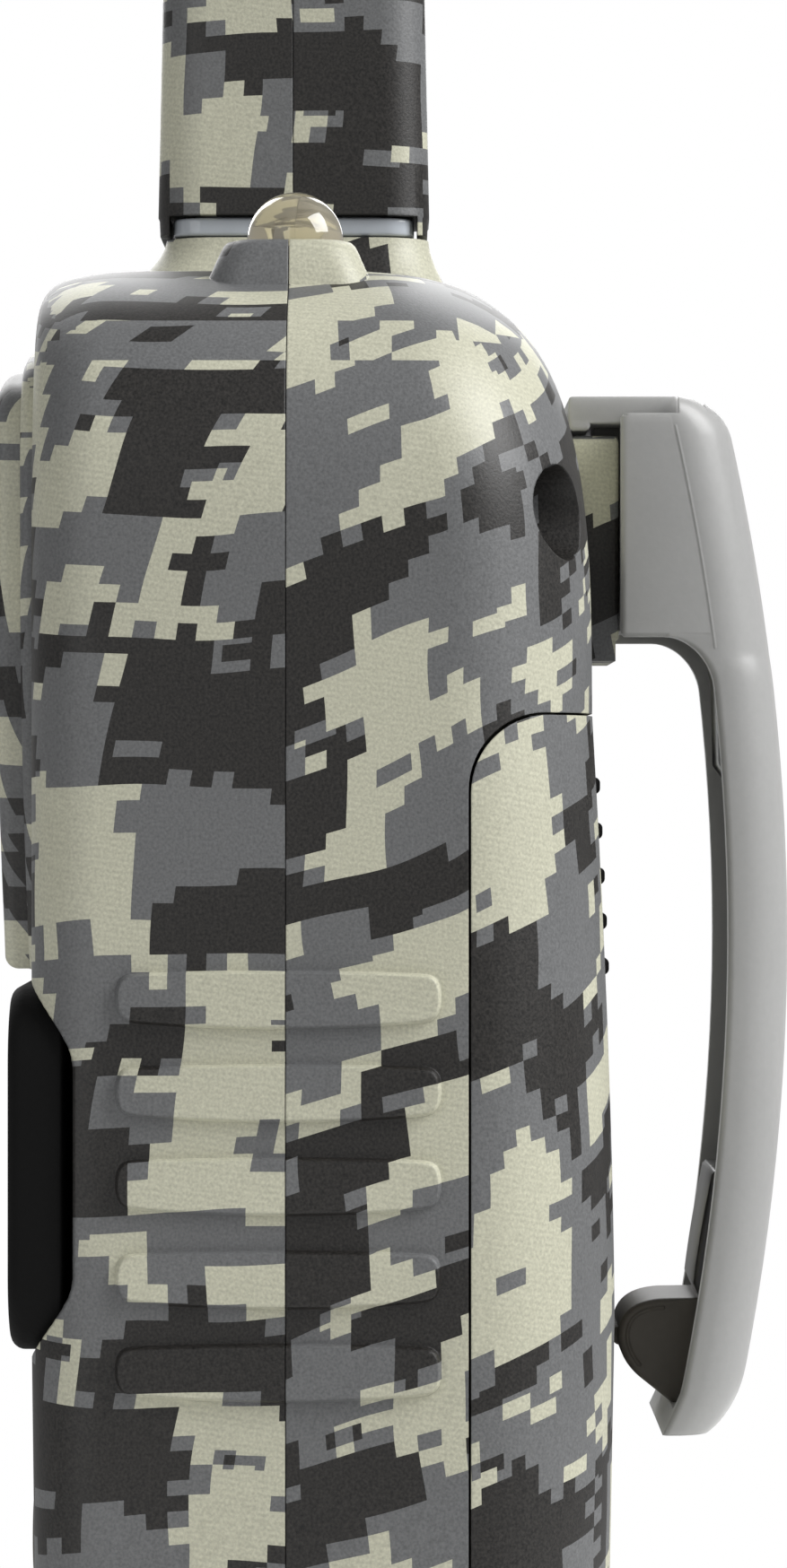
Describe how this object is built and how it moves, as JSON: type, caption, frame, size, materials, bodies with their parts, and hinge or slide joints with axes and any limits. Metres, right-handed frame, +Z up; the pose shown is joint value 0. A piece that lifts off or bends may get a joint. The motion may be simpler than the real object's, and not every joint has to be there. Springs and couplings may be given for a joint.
{
  "type": "toy walkie talkie",
  "caption": "Clamshell toy two-way radio with a printed plastic case, talk button, stub antenna, clear lamp, slide-off battery cover and sprung belt clip.",
  "frame": {"origin": "middle of the flat base, on the parting plane between the front and rear shells", "axes": "+Z up along the antenna, -Y out of the speaker face, +Y out of the belt clip side, +X to the lamp side"},
  "size_m": [0.058, 0.0461, 0.1685],
  "materials": {
    "printed_plastic": "satin water-transfer print of square-edged camouflage in sage cream, mid grey and charcoal",
    "grey_plastic": "satin light grey moulded plastic",
    "dark_plastic": "dark warm grey moulded plastic, fine texture",
    "black_plastic": "black moulded plastic",
    "black_rubber": "soft matte black moulding",
    "gloss_grey_plastic": "polished blue-grey plastic",
    "clear_plastic": "clear moulded lamp lens with a warm tint",
    "plated_steel": "zinc plated steel",
    "can_aluminium": "drawn aluminium can",
    "enamelled_wire": "enamelled copper wire",
    "board_laminate": "green solder mask on glass laminate",
    "cone_paper": "pressed paper cone",
    "battery_wrap": "printed film sleeve, plain two-tone"
  },
  "bodies": {
    "case": {"front_shell": "printed_plastic", "rear_shell": "printed_plastic", "speaker_panel": "printed_plastic", "power_switch": "plated_steel", "talk_switch": "black_plastic", "call_switch": "black_plastic", "circuit_board": "board_laminate", "radio_can": "plated_steel", "audio_chip": "black_plastic", "capacitor": "can_aluminium", "microphone": "can_aluminium", "speaker_frame": "plated_steel", "speaker_cone": "cone_paper", "speaker_magnet": "plated_steel", "antenna_front": "printed_plastic", "antenna_rear": "printed_plastic", "antenna_collar": "gloss_grey_plastic", "antenna_coil": "enamelled_wire", "lamp": "clear_plastic", "battery_1": "battery_wrap", "battery_2": "battery_wrap", "battery_3": "battery_wrap", "battery_spring_1": "plated_steel", "battery_spring_2": "plated_steel", "battery_spring_3": "plated_steel", "battery_contact": "plated_steel", "case_screw_1": "plated_steel", "case_screw_2": "plated_steel", "case_screw_3": "plated_steel", "case_screw_4": "plated_steel"},
    "cover": {"battery_cover": "printed_plastic", "cover_grip": "dark_plastic"},
    "talk": {"talk_button": "black_rubber", "talk_button_clip_left": "black_plastic", "talk_button_clip_right": "black_plastic"},
    "call": {"call_button": "black_rubber"},
    "power": {"power_slider": "dark_plastic"},
    "clip_base": {"clip_bracket": "grey_plastic", "clip_pin": "plated_steel"},
    "clip_lever": {"clip_arm": "grey_plastic", "clip_foot": "dark_plastic", "clip_spring": "plated_steel"}
  },
  "joints": [
    {"name": "cover_slide", "type": "slide", "parent": "case", "child": "cover", "axis": [0, 0, -1], "range_m": [0, 0.085]},
    {"name": "talk_press", "type": "slide", "parent": "case", "child": "talk", "axis": [0, 1, 0], "range_m": [0, 0.0006], "stiffness_N_per_m": 2500},
    {"name": "call_press", "type": "slide", "parent": "case", "child": "call", "axis": [0, 1, 0], "range_m": [0, 0.0006], "stiffness_N_per_m": 2500},
    {"name": "power_slide", "type": "slide", "parent": "case", "child": "power", "axis": [0, 0, 1], "range_m": [0, 0.004]},
    {"name": "clip_slide", "type": "slide", "parent": "case", "child": "clip_base", "axis": [0, 0, 1], "range_m": [0, 0.016]},
    {"name": "clip_hinge", "type": "hinge", "parent": "clip_base", "child": "clip_lever", "pos_m": [0, 0.022, 0.0914], "axis": [1, 0, 0], "range_deg": [0, 12], "stiffness_Nm_per_rad": 0.6}
  ]
}
